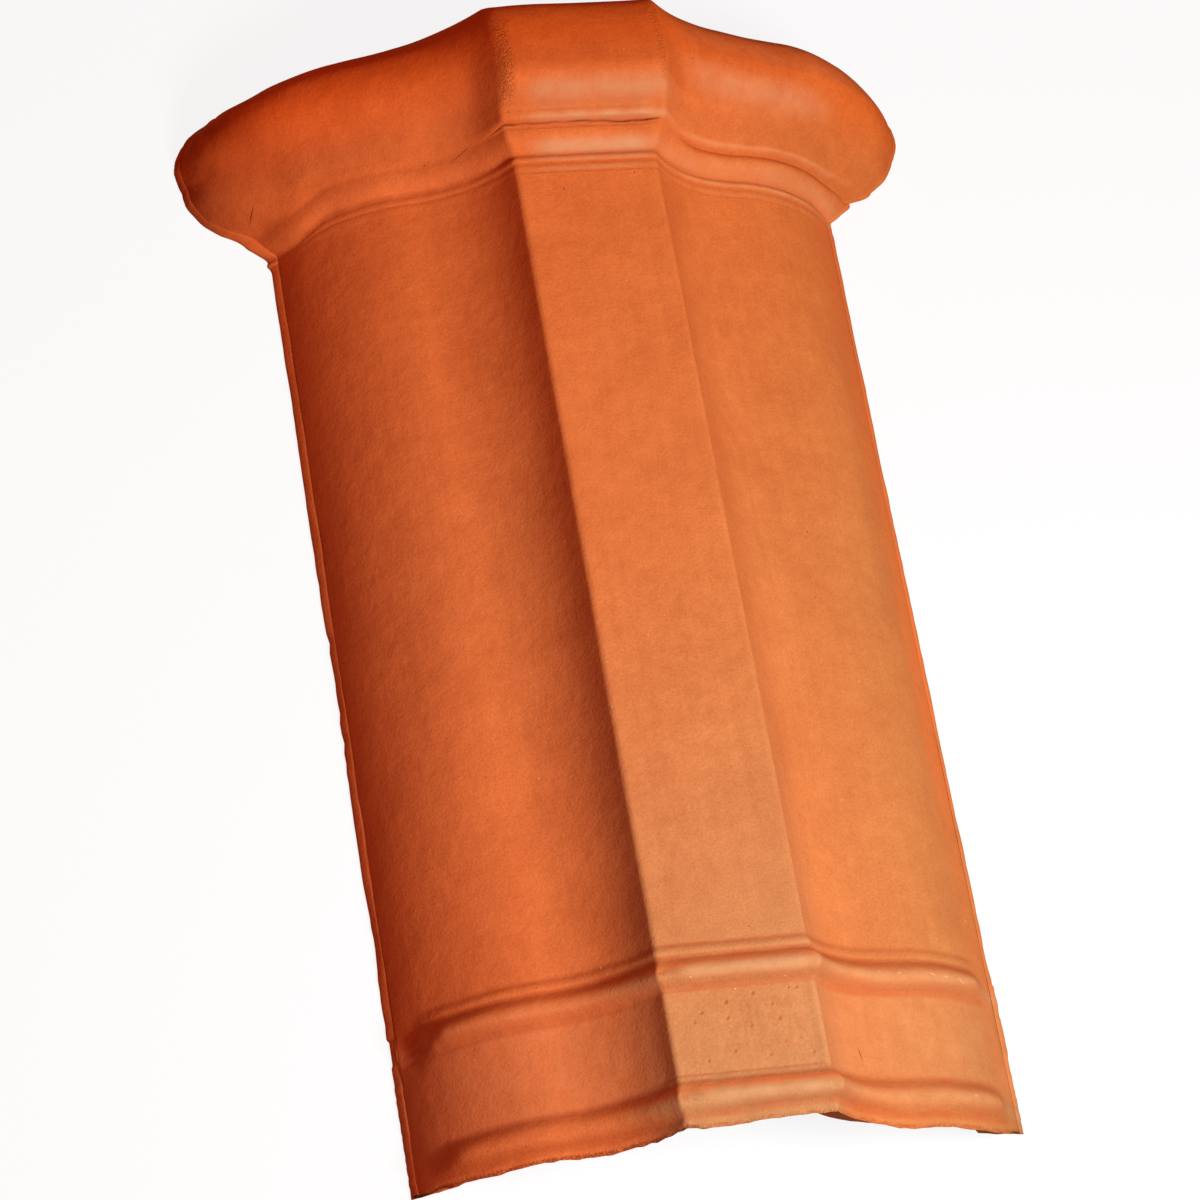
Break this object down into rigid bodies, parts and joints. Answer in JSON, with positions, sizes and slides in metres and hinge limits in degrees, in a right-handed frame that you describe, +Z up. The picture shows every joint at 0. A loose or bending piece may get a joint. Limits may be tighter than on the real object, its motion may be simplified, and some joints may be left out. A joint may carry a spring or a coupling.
{
  "type": "clay ridge tile",
  "caption": "Clay ridge tile with a flat-topped rib and ogee flanks, a flared hollow roll head at one end and a beaded spigot at the other, laid in a row to cover a roof's ridge.",
  "frame": {"origin": "middle of the base plane: midway between the two base edges and between the spigot's end and the head's end", "axes": "+Y along the ridge towards the roll head, +Z up from the base edges to the rib, +X across to the right seen from the spigot"},
  "size_m": [0.304, 0.463, 0.0885],
  "materials": {
    "fired_clay": "matte"
  },
  "bodies": {
    "root": {"ridge_tile": "fired_clay"}
  },
  "joints": []
}
